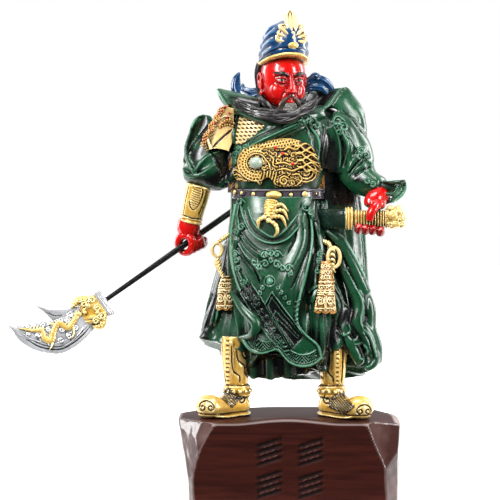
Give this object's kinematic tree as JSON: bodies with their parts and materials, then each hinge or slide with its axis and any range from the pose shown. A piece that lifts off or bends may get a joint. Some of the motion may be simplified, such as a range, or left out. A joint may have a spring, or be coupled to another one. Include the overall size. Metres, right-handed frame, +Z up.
{
  "type": "guan yu statue",
  "caption": "Painted resin figure of a robed and armoured warrior holding a long glaive, standing on a chipped stone-like plinth.",
  "frame": {"origin": "middle of the plinth's flat underside", "axes": "+Z up, the figure faces -Y, its glaive hand on the -X side"},
  "size_m": [0.3352, 0.124, 0.4154],
  "materials": {
    "plinth": "dark reddish-brown stained resin with faint grain and pale chipped corners",
    "green_enamel": "deep green glossy enamel, darker in the folds",
    "black_lacquer": "glossy black paint",
    "silver_paint": "silver paint with dark wash in the relief",
    "gold_paint": "bright gold paint with brown wash in the crevices",
    "red_enamel": "bright red glossy enamel",
    "blue_enamel": "blue glossy enamel with dark recesses",
    "beard_enamel": "black enamel with pale dry-brushed strands"
  },
  "bodies": {
    "root": {"plinth": "plinth", "figure": "green_enamel", "glaive_shaft": "black_lacquer", "glaive_blade": "silver_paint"}
  },
  "joints": []
}
